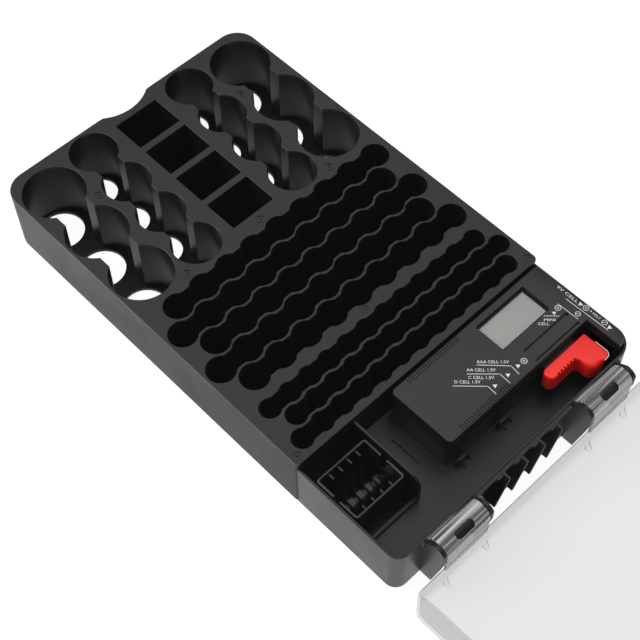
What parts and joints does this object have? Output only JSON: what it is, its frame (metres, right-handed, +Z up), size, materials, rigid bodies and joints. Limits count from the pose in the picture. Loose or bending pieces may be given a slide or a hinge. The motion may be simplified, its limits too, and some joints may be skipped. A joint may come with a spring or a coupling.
{
  "type": "battery tester with storage tray",
  "caption": "Moulded cell storage tray with a hinged clear lid and a removable digital cell tester that has a display window and a sprung test slider.",
  "frame": {"origin": "on the surface the tray stands on, under the first AA row, midway between the tray's long sides", "axes": "+X across the tray towards the tester's head, +Y along the tray away from the hinge, +Z up"},
  "size_m": [0.1768, 0.618, 0.04],
  "materials": {
    "black_plastic": "fine satin moulding",
    "tester_plastic": "fine texture",
    "clear_plastic": "clear polished",
    "window_plastic": "clear",
    "lcd_glass": "grey reflective display",
    "rubber_strip": "soft",
    "board": "solder mask",
    "steel": "nickel plated",
    "brass": "springy strip",
    "red_plastic": "satin red"
  },
  "bodies": {
    "tray": {"storage_tray": "black_plastic", "tray_front_rail": "black_plastic", "coin_cell_box": "black_plastic", "coin_cell_cradle": "black_plastic", "hinge_pin_left": "black_plastic", "hinge_pin_right": "black_plastic"},
    "lid": {"clear_lid": "clear_plastic"},
    "tester": {"tester_top_shell": "tester_plastic", "tester_back_shell": "tester_plastic", "lcd_window": "window_plastic", "lcd_module": "lcd_glass", "lcd_connector": "rubber_strip", "circuit_board": "board", "meter_chip": "board", "button_cell_contact": "steel", "fixed_contact_plate": "steel", "nine_volt_contact_plus": "steel", "nine_volt_contact_minus": "steel", "case_screw_1": "steel", "case_screw_2": "steel", "case_screw_3": "steel", "case_screw_4": "steel", "slider_return_spring": "steel"},
    "slider": {"test_slider": "red_plastic", "slider_contact": "brass"}
  },
  "joints": [
    {"name": "lid_hinge", "type": "hinge", "parent": "tray", "child": "lid", "pos_m": [0, -0.18503, 0.033], "axis": [-1, 0, 0], "range_deg": [0, 180]},
    {"name": "tester_lift", "type": "slide", "parent": "tray", "child": "tester", "axis": [0, 0, 1], "range_m": [0, 0.022]},
    {"name": "slider_pull", "type": "slide", "parent": "tester", "child": "slider", "axis": [-1, 0, 0], "range_m": [0, 0.055], "stiffness_N_per_m": 40, "springref_m": -0.015}
  ]
}
